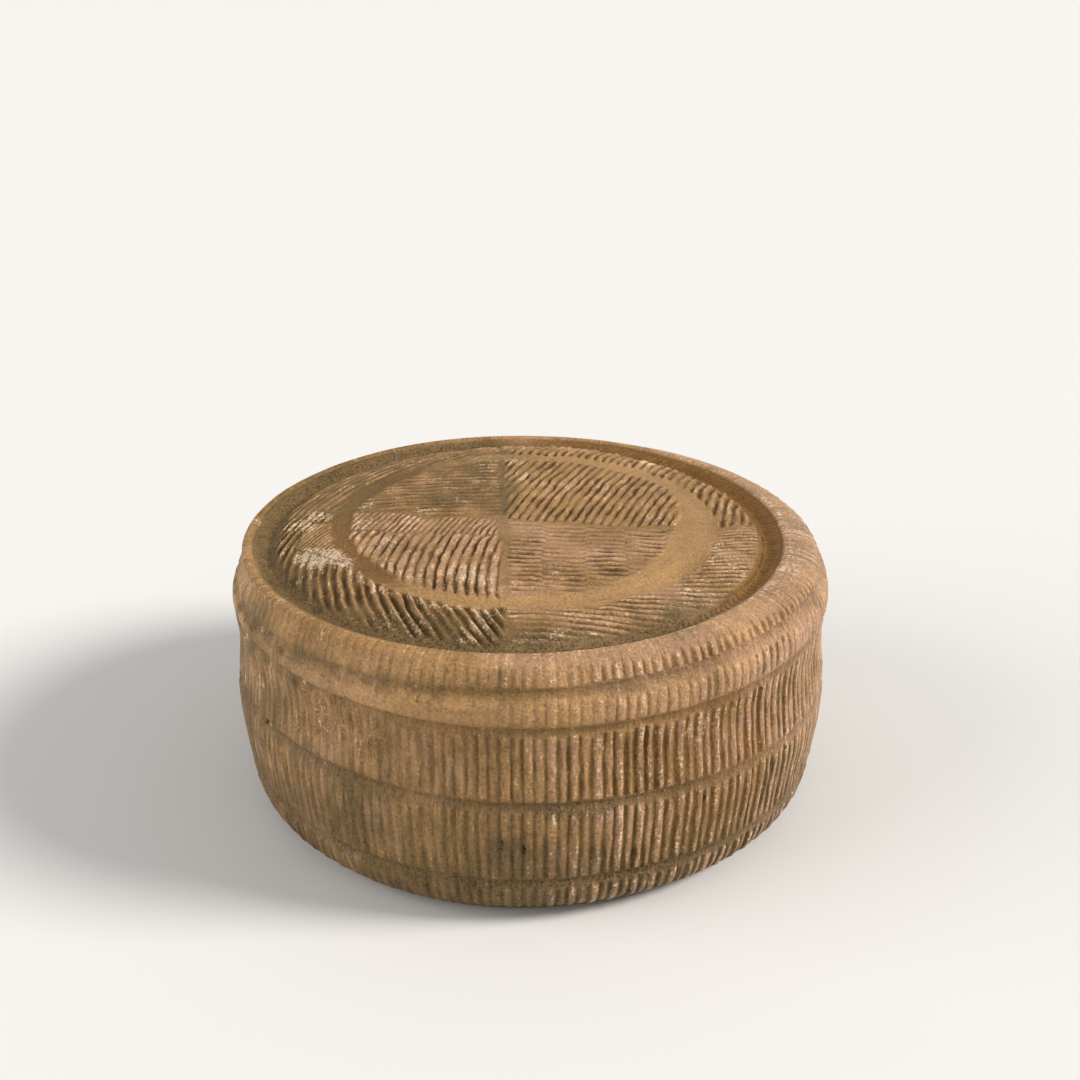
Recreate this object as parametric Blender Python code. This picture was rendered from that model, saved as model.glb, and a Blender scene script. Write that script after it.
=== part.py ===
"""A whole wheel of aged sheep cheese, metres, +Z up, standing on its flat base.

The wheel drained and was pressed in a woven basket, and the rind keeps the basket's print: upright ribs
in five bands round the side, grooves between the bands, a raised rim, and a low domed top combed by four
sectors of parallel ridges that turn round the middle and are crossed by one smooth ring. The origin is
the middle of the base. The front of the wheel is at -Y and its right at +X.
"""

import math
import random

import bmesh
import bpy
from mathutils.geometry import delaunay_2d_cdt

# Side: (height, radius over the rib crests), from the edge of the base up to the shoulder.
SIDE = (
    (0.0000, 0.1197),
    (0.0094, 0.1293),
    (0.0294, 0.1331),
    (0.0530, 0.1350),
    (0.0800, 0.1324),
    (0.1010, 0.1337),
    (0.1150, 0.1282),
)
FOOT_RADIUS = 0.1182  # the flat that the wheel stands on
FOOT_EDGE = 0.0015  # height at which the base band starts

# Grooves between the bands: mean height of the floor, then how far the basket's hoops lean right and sag
# twice round. A hoop pressed hardest along its upper edge, so the wall above the floor is the steep one.
GROOVES = (
    (0.0222, -0.0010, 0.0000),
    (0.0598, -0.0030, 0.0000),
    (0.0940, -0.0018, 0.0015),
    (0.1078, 0.0033, 0.0000),
)
GROOVE_DEPTH = 0.0020
GROOVE_ABOVE = 0.0013  # from the floor up to where the ribs of the band above begin
GROOVE_BELOW = 0.0038  # from the floor down to where the ribs of the band below end

# Ribs, left by the basket's upright straws, which were thick and thin by turns.
RIBS = 188
RIB_DEPTH = 0.0012
THIN_DROP = 0.0004  # how much lower every second rib stands
RIB_STRAY = 0.10  # how far a rib strays sideways, as a share of the pitch
SOFT_BAND = 3  # the band under the rim's, pressed nearly smooth, counted from 0 at the base
ROUND_POINTS = 96  # points round a row that has no ribs

# Rim: its crest is a circle a little off the wheel's own axis.
CREST_RADIUS = 0.1214
CREST_HEIGHT = 0.1186
CREST_SHIFT = (-0.0058, 0.0015)
LIP_RADIUS = 0.1250  # the shoulder of the crest, just outside it
LIP_HEIGHT = 0.1176
LIP_SHIFT = 0.6  # share of the crest's shift that the shoulder takes

# Top: a low dome inside the rim, meeting it in a shallow trough.
TOP_MIDDLE = 0.1245
TOP_DROP = 0.0104  # from the middle of the dome to the floor of the trough
TOP_POWER = 8  # how flat it stays before it rounds off
TROUGH_RADIUS = 0.1119
RIM = (
    (LIP_RADIUS, LIP_HEIGHT, LIP_SHIFT),
    (CREST_RADIUS, CREST_HEIGHT, 1.0),
    (TROUGH_RADIUS, TOP_MIDDLE - TOP_DROP, 1.0),
)

# Comb on the top: ridges of one pitch in four quarters that turn round a point near the middle, and the
# smooth ring across them.
RIDGE_PITCH = 0.0043
RIDGE_DEPTH = 0.0014
MEET = (-0.0125, -0.0030)  # where the four quarters meet
SEAMS = (-5.0, 92.0, 173.0, 272.0)  # way of each seam from there, degrees; quarter 0 is at the back right
SEAM_HALF = 0.0010
# Each quarter's comb inside the ring and its comb outside it: a point that the ridges bend about, the way
# they run there in degrees, and the radius of their bend behind that point and ahead of it.
QUARTERS = (
    (((0.060, 0.040), 66.0, 0.400, 0.400), ((0.090, 0.030), 77.0, 0.300, 0.300)),
    (((-0.050, 0.050), 6.0, 0.500, 0.500), ((-0.085, 0.040), 60.0, 0.200, 0.200)),
    (((-0.050, -0.045), 90.0, 0.120, 0.120), ((-0.050, -0.045), 90.0, 0.100, 0.100)),
    (((0.030, -0.050), 176.0, 0.900, 0.900), ((0.037, -0.080), 180.0, 0.096, 0.900)),
)
RING_CENTRE = (-0.0025, -0.0035)
RING_RADIUS = 0.0818
RING_HALF = 0.0038
RING_DEPTH = 0.0008
RING_POINTS = 56
FIELD_RADIUS = 0.1085  # where the ridges end before the trough
WALK_STEP = 0.0005  # how finely a ridge is followed to find its ends
BEND_STEP = 0.0240  # length between two points of a bent ridge
SHORTEST_RIDGE = 0.0030

# Unevenness of a wheel that settled while it was soft: (turns round the wheel, amount, phase).
SETTLING = ((2, 0.0006, 0.7), (3, 0.0004, 2.1), (5, 0.0003, 4.0))
SEED = 11

RIND_COLOUR = (0.330, 0.205, 0.100, 1.0)
RIND_ROUGHNESS = 0.72
SHARP_ANGLE = math.radians(40.0)
FULL_TURN = 2.0 * math.pi


def clear_scene():
    """Remove every object of the start-up scene."""
    for item in list(bpy.data.objects):
        bpy.data.objects.remove(item, do_unlink=True)


def rind_material():
    """Brown, dry, oiled rind."""
    material = bpy.data.materials.new("basket_rind")
    material.use_nodes = True
    shader = material.node_tree.nodes["Principled BSDF"]
    shader.inputs["Base Color"].default_value = RIND_COLOUR
    shader.inputs["Roughness"].default_value = RIND_ROUGHNESS
    shader.inputs["Metallic"].default_value = 0.0
    return material


def side_radius(height):
    """Radius over the rib crests at a height: a smooth curve through the points of SIDE."""
    last = len(SIDE) - 1
    i = 0
    while i < last - 1 and height > SIDE[i + 1][0]:
        i += 1

    def slope(k):
        low = max(k - 1, 0)
        high = min(k + 1, last)
        return (SIDE[high][1] - SIDE[low][1]) / (SIDE[high][0] - SIDE[low][0])

    span = SIDE[i + 1][0] - SIDE[i][0]
    t = (height - SIDE[i][0]) / span
    rise = t * t * (3.0 - 2.0 * t)
    start = t * (1.0 - t) ** 2 * span * slope(i)
    end = t * t * (t - 1.0) * span * slope(i + 1)
    return SIDE[i][1] * (1.0 - rise) + SIDE[i + 1][1] * rise + start + end


def settling(angle):
    """How far the side stands in or out at an angle."""
    return sum(amount * math.sin(turns * angle + phase) for turns, amount, phase in SETTLING)


def rib_angles():
    """Angles of the rib crests, a little unevenly spaced, in rising order."""
    draw = random.Random(SEED)
    return [FULL_TURN * (k + draw.uniform(-RIB_STRAY, RIB_STRAY)) / RIBS for k in range(RIBS)]


def gap_angles(crests):
    """Angles halfway between each rib and the next."""
    following = crests[1:] + [crests[0] + FULL_TURN]
    return [0.5 * (a + b) for a, b in zip(crests, following)]


def groove_height(groove, angle):
    """Height of a groove's floor at an angle."""
    mean, lean, sag = groove
    return mean + lean * math.cos(angle) + sag * math.cos(2.0 * angle)


def ring_point(mesh, angle, radius, height, shift=0.0):
    """A vertex of the side or the rim. shift is its share of the crest's shift off the axis."""
    radius += settling(angle)
    x = radius * math.cos(angle) + shift * CREST_SHIFT[0]
    y = radius * math.sin(angle) + shift * CREST_SHIFT[1]
    return mesh.verts.new((x, y, height))


def plain_row(mesh, height_at, inset=0.0, radius=None, shift=0.0):
    """A row without ribs."""
    row = []
    for k in range(ROUND_POINTS):
        angle = FULL_TURN * k / ROUND_POINTS
        height = height_at(angle)
        reach = side_radius(height) if radius is None else radius
        row.append((angle, ring_point(mesh, angle, reach - inset, height, shift)))
    return row


def ribbed_row(mesh, crests, height_at):
    """A row that steps out on each rib, thin and thick by turns, and in between them."""
    row = []
    for k, (crest, gap) in enumerate(zip(crests, gap_angles(crests))):
        drop = 0.0 if k % 2 else THIN_DROP
        for angle, inset in ((crest, drop), (gap, RIB_DEPTH)):
            height = height_at(angle)
            row.append((angle, ring_point(mesh, angle, side_radius(height) - inset, height)))
    return row


def half_way(row, i):
    """Angle halfway from vertex i of a row to the next one, or endless past the last."""
    return 0.5 * (row[i][0] + row[i + 1][0]) if i < len(row) - 1 else math.inf


def join_rows(mesh, low, high):
    """Fill between two rows of any two counts, walking round both by angle."""
    low = low + [(low[0][0] + FULL_TURN, low[0][1])]
    high = high + [(high[0][0] + FULL_TURN, high[0][1])]
    i = 0
    j = 0
    while i < len(low) - 1 or j < len(high) - 1:
        if half_way(low, i) < half_way(high, j):
            mesh.faces.new((low[i][1], low[i + 1][1], high[j][1]))
            i += 1
        else:
            mesh.faces.new((low[i][1], high[j + 1][1], high[j][1]))
            j += 1


def band_edges(band):
    """Heights of a band's lower and upper edge, as functions of the angle."""
    def lower(angle):
        return groove_height(GROOVES[band - 1], angle) + GROOVE_ABOVE if band else FOOT_EDGE

    def upper(angle):
        return groove_height(GROOVES[band], angle) - GROOVE_BELOW if band < len(GROOVES) else SIDE[-1][0]

    return lower, upper


def band_rows(mesh, band, crests):
    """Rows of one band: its two edges, and a middle one where the base curves in."""
    lower, upper = band_edges(band)
    if band == SOFT_BAND:
        return [plain_row(mesh, lower), plain_row(mesh, upper)]
    rows = [ribbed_row(mesh, crests, lower)]
    if band == 0:
        rows.append(ribbed_row(mesh, crests, lambda angle: 0.5 * (lower(angle) + upper(angle))))
    rows.append(ribbed_row(mesh, crests, upper))
    return rows


def side_rows(mesh):
    """Rows of the foot, the five bands and the rim, from the base up and in to the trough."""
    crests = rib_angles()
    rows = [plain_row(mesh, lambda angle: 0.0, radius=FOOT_RADIUS)]
    for band in range(len(GROOVES) + 1):
        rows += band_rows(mesh, band, crests)
        if band < len(GROOVES):
            floor = GROOVES[band]
            rows.append(plain_row(mesh, lambda angle: groove_height(floor, angle), inset=GROOVE_DEPTH))
    for radius, height, shift in RIM:
        rows.append(plain_row(mesh, lambda angle: height, radius=radius, shift=shift))
    return rows


def past_ring(x, y):
    """How far a point of the top lies outside the middle of the smooth ring, negative inside it."""
    return math.hypot(x - RING_CENTRE[0], y - RING_CENTRE[1]) - RING_RADIUS


def dome_height(x, y):
    """Height of the top's smooth form, with the shallow ring pressed into it."""
    radius = math.hypot(x - CREST_SHIFT[0], y - CREST_SHIFT[1])
    ring = math.exp(-((past_ring(x, y) / RING_HALF) ** 2))
    return TOP_MIDDLE - TOP_DROP * (radius / TROUGH_RADIUS) ** TOP_POWER - RING_DEPTH * ring


def in_field(quarter, outside, x, y):
    """Whether a point is in one comb of a quarter: off its seams, off the ring and inside the trough."""
    start = math.radians(SEAMS[quarter])
    end = math.radians(SEAMS[(quarter + 1) % len(SEAMS)])
    x_off = x - MEET[0]
    y_off = y - MEET[1]
    past_start = y_off * math.cos(start) - x_off * math.sin(start)
    before_end = x_off * math.sin(end) - y_off * math.cos(end)
    if min(past_start, before_end) < SEAM_HALF:
        return False
    radius = math.hypot(x - CREST_SHIFT[0], y - CREST_SHIFT[1])
    off_ring = past_ring(x, y) if outside else -past_ring(x, y)
    return radius < FIELD_RADIUS and off_ring > RING_HALF


def ridge_runs(quarter, outside, line):
    """The stretches of one line of a comb that lie in its field, each as a list of points.

    Even lines are the ridges' crests and odd ones the gaps between them. All lines of a comb are the same
    curve, moved sideways.
    """
    (x_bend, y_bend), way, behind, ahead = QUARTERS[quarter][outside]
    run_x = math.cos(math.radians(way))
    run_y = math.sin(math.radians(way))
    steps_behind = int(min(behind, 2.0 * FIELD_RADIUS) / WALK_STEP)
    steps_ahead = int(min(ahead, 2.0 * FIELD_RADIUS) / WALK_STEP)
    runs = [[]]
    for step in range(-steps_behind, steps_ahead + 1):
        along = step * WALK_STEP
        bend = behind if along < 0.0 else ahead
        aside = 0.5 * RIDGE_PITCH * line + bend - math.sqrt(bend * bend - along * along)
        x = x_bend + along * run_x + aside * run_y
        y = y_bend + along * run_y - aside * run_x
        if in_field(quarter, outside, x, y):
            runs[-1].append((x, y))
        elif runs[-1]:
            runs.append([])
    return [run for run in runs if len(run) * WALK_STEP > SHORTEST_RIDGE]


def thinned(run):
    """A run's two ends, and points between them where it is long enough to bend."""
    pieces = max(1, round(len(run) * WALK_STEP / BEND_STEP))
    return [run[(len(run) - 1) * k // pieces] for k in range(pieces + 1)]


def comb_lines():
    """Every crest and gap line of the top as (offset from the dome's height, points)."""
    lines = []
    count = int(4.0 * FIELD_RADIUS / RIDGE_PITCH)
    for quarter in range(len(QUARTERS)):
        for outside in (0, 1):
            for line in range(-count, count + 1):
                offset = 0.5 * RIDGE_DEPTH * (-1.0 if line % 2 else 1.0)
                for run in ridge_runs(quarter, outside, line):
                    lines.append((offset, thinned(run)))
    return lines


def fill_top(mesh, trough):
    """The combed dome inside the trough row, as triangles that keep every ridge and gap as an edge."""
    corners = [vertex for _, vertex in trough]
    points = [(vertex.co.x, vertex.co.y) for vertex in corners]
    edges = [(k, (k + 1) % len(corners)) for k in range(len(corners))]
    offsets = [0.0] * len(corners)
    for offset, run in comb_lines():
        edges += [(len(points) + k, len(points) + k + 1) for k in range(len(run) - 1)]
        points += run
        offsets += [offset] * len(run)
    for k in range(RING_POINTS):
        angle = FULL_TURN * k / RING_POINTS
        x = RING_CENTRE[0] + RING_RADIUS * math.cos(angle)
        y = RING_CENTRE[1] + RING_RADIUS * math.sin(angle)
        points.append((x, y))
        offsets.append(0.0)
    flat, _, faces, origins, _, _ = delaunay_2d_cdt(points, edges, [], 0, WALK_STEP * 0.01)
    vertices = []
    for place, origin in zip(flat, origins):
        source = min(origin)
        if source < len(corners):
            vertices.append(corners[source])
        else:
            height = dome_height(place.x, place.y) + offsets[source]
            vertices.append(mesh.verts.new((place.x, place.y, height)))
    for face in faces:
        mesh.faces.new([vertices[k] for k in face])


def wheel_mesh():
    """The wheel's skin as one closed mesh."""
    mesh = bmesh.new()
    rows = side_rows(mesh)
    for low, high in zip(rows, rows[1:]):
        join_rows(mesh, low, high)
    mesh.faces.new([vertex for _, vertex in reversed(rows[0])])
    fill_top(mesh, rows[-1])
    return mesh


def main():
    """Build the wheel as one closed body."""
    clear_scene()
    mesh = wheel_mesh()
    data = bpy.data.meshes.new("cheese_wheel")
    mesh.to_mesh(data)
    mesh.free()
    data.materials.append(rind_material())
    data.shade_smooth()
    data.set_sharp_from_angle(angle=SHARP_ANGLE)
    wheel = bpy.data.objects.new("cheese_wheel", data)
    bpy.context.scene.collection.objects.link(wheel)


main()
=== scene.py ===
# %% [markdown]
# # A whole wheel of aged sheep cheese
# Fresh curd is packed by hand into a basket of rushes, turned over, pressed, salted and left on a shelf for
# a year. The basket stays behind as a print: upright ribs round the side, hoops that leave grooves between
# the bands, and a combed top. Oil, brushing and age turn the rind from straw to a dry, dirty tan.
#
# This lesson starts from the plain solid wheel, which fixes the size, and models a finer skin over it. One
# closed mesh is enough, because an uncut wheel is one piece and its rind can't be lifted off.

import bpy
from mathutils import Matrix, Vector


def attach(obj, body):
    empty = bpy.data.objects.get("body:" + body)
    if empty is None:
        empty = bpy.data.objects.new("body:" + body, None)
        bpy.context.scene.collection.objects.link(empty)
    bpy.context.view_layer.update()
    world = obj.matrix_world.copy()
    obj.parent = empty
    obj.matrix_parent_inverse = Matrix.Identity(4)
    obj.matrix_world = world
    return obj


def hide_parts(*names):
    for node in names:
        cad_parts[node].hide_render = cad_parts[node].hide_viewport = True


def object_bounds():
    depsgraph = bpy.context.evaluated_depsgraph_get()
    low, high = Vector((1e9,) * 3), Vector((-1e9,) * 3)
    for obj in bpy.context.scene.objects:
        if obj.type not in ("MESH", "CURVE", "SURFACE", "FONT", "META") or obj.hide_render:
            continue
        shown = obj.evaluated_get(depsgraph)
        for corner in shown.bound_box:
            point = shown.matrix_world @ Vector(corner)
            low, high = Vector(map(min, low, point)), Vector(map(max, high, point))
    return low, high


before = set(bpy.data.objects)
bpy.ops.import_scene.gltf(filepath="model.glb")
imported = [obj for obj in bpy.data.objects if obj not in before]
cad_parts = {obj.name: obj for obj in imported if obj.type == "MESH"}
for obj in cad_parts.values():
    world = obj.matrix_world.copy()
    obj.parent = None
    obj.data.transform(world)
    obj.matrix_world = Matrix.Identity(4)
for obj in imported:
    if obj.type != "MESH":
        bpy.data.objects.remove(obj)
solid_low, solid_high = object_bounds()
print("solid wheel, from", [round(v, 4) for v in solid_low], "to", [round(v, 4) for v in solid_high])

# %% The other modules
import math
import random

import bmesh
import bpy
import numpy as np
from mathutils import Vector, noise

# %% [markdown]
# ## The camera
# The wheel is seen from a little above, as someone standing at a counter sees it. The eye, the point it
# looks at and the lens were fitted to the outline of the wheel, its rim and its grooves, so they are set
# before anything else: every later choice is judged through this view.

# %% Place the camera
EYE = (0.00412, -0.58222, 0.37085)
AIM = (0.00412, 0.0, 0.11238)
LENS_MM = 46.67  # on a sensor 36 mm wide

bpy.ops.object.select_all(action="DESELECT")
looking = (Vector(AIM) - Vector(EYE)).to_track_quat("-Z", "Y").to_euler()
bpy.ops.object.camera_add(location=EYE, rotation=looking)
camera = bpy.context.object
camera.name = "counter_view"
camera.data.lens = LENS_MM
bpy.context.scene.camera = camera
print("looks down by", round(math.degrees(math.pi / 2 - looking.x), 1), "degrees")

# %% [markdown]
# ## The sizes that the basket set
# A wheel like this is close to 270 mm across and 120 mm high. Its side swells between the hoops, so it is
# given as a few points and a smooth curve through them, the same as in the solid. Everything else hangs on
# these numbers: the hoops' heights, the number of straws, and the rim's circle, which sits a little off the
# axis because the wheel sagged while it was soft.

# %% Sizes in metres
SIDE = (
    (0.0000, 0.1197),
    (0.0094, 0.1293),
    (0.0294, 0.1331),
    (0.0530, 0.1350),
    (0.0800, 0.1324),
    (0.1010, 0.1337),
    (0.1150, 0.1282),
)  # height, radius over the ribs
FOOT_RADIUS = 0.1182
FOOT_EDGE = 0.0015  # height of the soft edge round the foot
GROOVES = (
    (0.0222, -0.0010, 0.0000),
    (0.0598, -0.0030, 0.0000),
    (0.0940, -0.0018, 0.0015),
    (0.1078, 0.0033, 0.0000),
)  # mean height of each hoop's groove, how far it leans right, how far it sags twice round
GROOVE_DEPTH = 0.0020
RIBS = 188
RIB_DEPTH = 0.0012
THIN_DROP = 0.0004  # every second rib is a thin one and stands this much lower
RIB_STRAY = 0.10  # how far a rib may stray to either side, as a share of the pitch
CREST_RADIUS = 0.1214
CREST_HEIGHT = 0.1186
CREST_SHIFT = (-0.0058, 0.0015)  # how far the rim's circle sits off the axis
TOP_MIDDLE = 0.1245
TOP_DROP = 0.0104  # how far the dome has dropped at the trough
TOP_POWER = 8  # how late it drops: a higher power keeps more of the top flat
TROUGH_RADIUS = 0.1119
SETTLING = ((2, 0.0006, 0.7), (3, 0.0004, 2.1), (5, 0.0003, 4.0))  # bulges in a turn, their height, phase
SEED = 11
FULL_TURN = 2.0 * math.pi
HAIR = 1e-5  # distances smaller than this count as none


# %% Curves of the wheel
def side_radius(height):
    """Radius over the ribs at a height: a smooth curve through the points of SIDE."""
    last = len(SIDE) - 1
    i = 0
    while i < last - 1 and height > SIDE[i + 1][0]:
        i += 1

    def slope(k):
        low = max(k - 1, 0)
        high = min(k + 1, last)
        return (SIDE[high][1] - SIDE[low][1]) / (SIDE[high][0] - SIDE[low][0])

    span = SIDE[i + 1][0] - SIDE[i][0]
    t = (height - SIDE[i][0]) / span
    rise = t * t * (3.0 - 2.0 * t)
    start = t * (1.0 - t) ** 2 * span * slope(i)
    end = t * t * (t - 1.0) * span * slope(i + 1)
    return SIDE[i][1] * (1.0 - rise) + SIDE[i + 1][1] * rise + start + end


WALL_SLOPE = 0.68  # how steeply the rim falls away inwards
WALL_ROUND = 0.0025  # how softly it turns over at the crest
TROUGH_ROUND = 0.0012  # how softly it meets the dome


def top_height(radius):
    """Height of the plain top: the rim's inner wall and the low dome, blended where they meet."""
    inward = CREST_RADIUS - radius
    wall = CREST_HEIGHT - WALL_SLOPE * (np.sqrt(inward**2 + WALL_ROUND**2) - WALL_ROUND)
    dome = TOP_MIDDLE - TOP_DROP * (radius / TROUGH_RADIUS) ** TOP_POWER
    return 0.5 * (wall + dome + np.sqrt((wall - dome) ** 2 + TROUGH_ROUND**2))


def mm(metres):
    """A length in millimetres, rounded to be printed."""
    return round(float(metres) * 1000.0, 2)


print("floor of the trough at", mm(top_height(np.float64(TROUGH_RADIUS))), "mm")

# %% [markdown]
# ## Rough out the wheel
# A turned body could be spun from a profile, but then every row would have the same number of points, and
# the middle of the top would be wastefully dense. Here a circle is extruded and resized from row to row,
# as a potter raises a wall. The rows lie closer at the grooves. Four points to a rib are enough, because
# they are moved later to where a rib bends: its crest, its two shoulders and the gap.

# %% Rows of the side
COLUMNS = 4 * RIBS
GROOVE_SECTION = (
    (-0.0052, 0.00),
    (-0.0043, 0.04),
    (-0.0035, 0.55),
    (-0.0018, 0.72),
    (0.0000, 1.00),
    (0.0008, 0.68),
    (0.0024, 0.00),
)  # height over the floor of a groove, share of its depth: the upper wall is the steep one
INNER_ROWS = (4, 9, 9, 2, 1)  # rows inside each band, from the base up
RIM_ROUND = 0.0074  # radius of the rounding from the side up to the crest
RIM_START = 28.0  # degrees above level at which that rounding takes over from the side
RIM_ROWS = 6


def rows_between(low, high, number):
    """Heights evenly between two, without the two themselves."""
    return [low + (high - low) * k / (number + 1) for k in range(1, number + 1)]


rim_low = CREST_HEIGHT - RIM_ROUND * (1.0 - math.sin(math.radians(RIM_START)))
side_heights = [FOOT_EDGE / 2, FOOT_EDGE]
for groove, number in zip(GROOVES, INNER_ROWS):
    across_groove = [groove[0] + step for step, _ in GROOVE_SECTION]
    side_heights += rows_between(side_heights[-1], across_groove[0], number) + across_groove
side_heights += rows_between(side_heights[-1], rim_low, INNER_ROWS[-1])
print(len(side_heights), "rows up the side,", COLUMNS, "points in each")


# %% Rows of the rim and rings of the top
TOP_STEP = 0.0011  # between two rings of the top
HALVINGS = (0.072, 0.036, 0.018)  # radii at which a ring of the top keeps half its points

rim_rows = []
for k in range(RIM_ROWS + 1):
    slope = math.radians(RIM_START + (90.0 - RIM_START) * k / RIM_ROWS)
    radius = CREST_RADIUS + RIM_ROUND * math.cos(slope)
    rim_rows.append((radius, CREST_HEIGHT - RIM_ROUND * (1.0 - math.sin(slope))))
ring_count = int(CREST_RADIUS / TOP_STEP)
top_rings = [CREST_RADIUS * (1.0 - k / ring_count) for k in range(1, ring_count)]
print(len(top_rings), "rings on the top, spaced", mm(CREST_RADIUS / ring_count), "mm")


# %% Raise a row, halve a loop
def raise_row(old, new):
    """Extrude the selected loop into the next row. old and new are (radius, height)."""
    bpy.ops.mesh.extrude_region_move(TRANSFORM_OT_translate={"value": (0.0, 0.0, new[1] - old[1])})
    share = new[0] / old[0]
    bpy.ops.transform.resize(value=(share, share, 1.0), center_override=(0.0, 0.0, 0.0))
    return new


def halve_loop():
    """Merge the points of the selected loop in pairs."""
    mesh = bmesh.from_edit_mesh(bpy.context.object.data)
    loop = [v for v in mesh.verts if v.select]
    loop.sort(key=lambda v: math.atan2(v.co.y, v.co.x))
    height = loop[0].co.z
    radius = loop[0].co.xy.length
    bpy.ops.mesh.select_mode(type="EDGE")
    bpy.ops.mesh.select_all(action="DESELECT")
    for first, second in zip(loop[0::2], loop[1::2]):
        mesh.edges.get((first, second)).select = True
    bmesh.update_edit_mesh(bpy.context.object.data)
    bpy.ops.mesh.merge(type="COLLAPSE")
    bpy.ops.mesh.select_mode(type="VERT")
    bpy.ops.mesh.select_all(action="DESELECT")
    mesh = bmesh.from_edit_mesh(bpy.context.object.data)
    for vertex in mesh.verts:
        beside = abs(vertex.co.xy.length - radius) < 10.0 * HAIR  # merging draws a loop in by less than this
        vertex.select = beside and abs(vertex.co.z - height) < HAIR
    mesh.select_flush(True)
    bmesh.update_edit_mesh(bpy.context.object.data)


# %% The side, the rim and the top
bpy.ops.mesh.primitive_circle_add(vertices=COLUMNS, radius=FOOT_RADIUS, fill_type="NOTHING")
wheel = bpy.context.object
wheel.name = "cheese_rind"
bpy.ops.object.mode_set(mode="EDIT")
bpy.ops.mesh.select_mode(type="VERT")
row = (FOOT_RADIUS, 0.0)
for height in side_heights:
    row = raise_row(row, (side_radius(height), height))
for radius, height in rim_rows:
    row = raise_row(row, (radius, height))
halvings = list(HALVINGS)
for radius in top_rings:
    row = raise_row(row, (radius, float(top_height(np.float64(radius)))))
    if halvings and radius < halvings[0]:
        halve_loop()
        halvings.pop(0)
bpy.ops.mesh.merge(type="CENTER")
print("side and top:", len(bmesh.from_edit_mesh(wheel.data).verts), "points")

# %% The flat it stands on
FOOT_RINGS = (0.1175, 0.1120, 0.1000, 0.0750, 0.0450, 0.0200, 0.0060)

bpy.ops.mesh.select_all(action="DESELECT")
sheet = bmesh.from_edit_mesh(wheel.data)
for vertex in sheet.verts:
    vertex.select = vertex.co.z < HAIR
sheet.select_flush(True)
bmesh.update_edit_mesh(wheel.data)
row = (FOOT_RADIUS, 0.0)
for radius in FOOT_RINGS:
    row = raise_row(row, (radius, 0.0))
    if FOOT_RINGS[4] < radius < FOOT_RINGS[0]:
        halve_loop()
bpy.ops.mesh.merge(type="CENTER")
bpy.ops.mesh.select_all(action="SELECT")
bpy.ops.mesh.normals_make_consistent(inside=False)
bpy.ops.object.mode_set(mode="OBJECT")
bpy.ops.object.shade_smooth()
triangles = sum(len(face.vertices) - 2 for face in wheel.data.polygons)
print(triangles, "triangles")

# %% [markdown]
# ## Work the skin
# The relief is too regular for a brush and too uneven for a modifier, so the points are moved in code, as a
# sculptor would push them, by amounts that follow the basket. The points are kept as three columns of
# numbers: the way round the wheel, the distance out from its axis, and the height of the row.

# %% Read the points of the rough wheel
TOP_FROM = 0.110  # every point of the top lies above this height

count = len(wheel.data.vertices)
rough = np.empty(count * 3, dtype=np.float32)
wheel.data.vertices.foreach_get("co", rough)
rough = rough.reshape(-1, 3).astype(float)
turn = np.arctan2(rough[:, 1], rough[:, 0]) % FULL_TURN
reach = np.hypot(rough[:, 0], rough[:, 1])
level = rough[:, 2]
on_foot = (level < HAIR) & (reach < FOOT_RADIUS - HAIR)
on_top = (level > TOP_FROM) & (reach < CREST_RADIUS + HAIR)
on_side = ~on_foot & ~on_top
print(on_foot.sum(), "points under the wheel,", on_side.sum(), "on its side,", on_top.sum(), "on its top")


# %% Small tools for shaping
def ease(low, high, value):
    """0 below low, 1 above high, and a soft step between them."""
    t = np.clip((value - low) / (high - low), 0.0, 1.0)
    return t * t * (3.0 - 2.0 * t)


def between(stretch, value):
    """0, then 1, then 0 again. A stretch says where the rise starts and ends, and where the fall does."""
    rise_from, rise_to, fall_from, fall_to = stretch
    return ease(rise_from, rise_to, value) * (1.0 - ease(fall_from, fall_to, value))


def hump(middle, half, value):
    """1 in the middle, and softly down to nothing about two half widths away."""
    return np.exp(-(((value - middle) / half) ** 2))


def percent(shares):
    """The mean of some shares, rounded to be printed."""
    return round(float(np.mean(shares)) * 100.0)


def lumps(points, size, place=0.0):
    """Smooth unevenness from -1 to 1, in lumps of a size in metres. place picks another pattern."""
    scaled = (points / size + place).tolist()
    return np.array([noise.noise(point) for point in scaled])


def spots(x_now, y_now, listed):
    """Soft round spots, each given as (x, y, radius, strength)."""
    total = np.zeros(len(x_now))
    for spot_x, spot_y, radius, strength in listed:
        away = np.hypot(x_now - spot_x, y_now - spot_y)
        total = np.maximum(total, strength * hump(0.0, radius, away))
    return total


# %% [markdown]
# ### Where the ribs stand
# Each straw of the basket left one rib. Straws aren't spaced like gear teeth, so each rib strays by a random
# share of the pitch, from the same seed as the solid, and the grid's columns are pulled across to follow it.

# %% Rib angles
RIB_SHOULDER = 0.30  # where a rib starts to round off, as a share of the pitch from its crest

draw = random.Random(SEED)
crest_angles = [FULL_TURN * (k + draw.uniform(-RIB_STRAY, RIB_STRAY)) / RIBS for k in range(RIBS)]
columns = []
for here, after in zip(crest_angles, crest_angles[1:] + [crest_angles[0] + FULL_TURN]):
    pitch = after - here
    columns += [here, here + RIB_SHOULDER * pitch, here + 0.5 * pitch, after - RIB_SHOULDER * pitch]
columns = np.array([columns[-1] - FULL_TURN] + columns + [columns[0] + FULL_TURN])
even = FULL_TURN * np.arange(-1, COLUMNS + 1) / COLUMNS
pulled = np.interp(turn, even, columns)
rim_share = ease(TROUGH_RADIUS, CREST_RADIUS, reach)
angle = np.where(on_side, pulled, np.where(on_top, turn + rim_share * (pulled - turn), turn))

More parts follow.
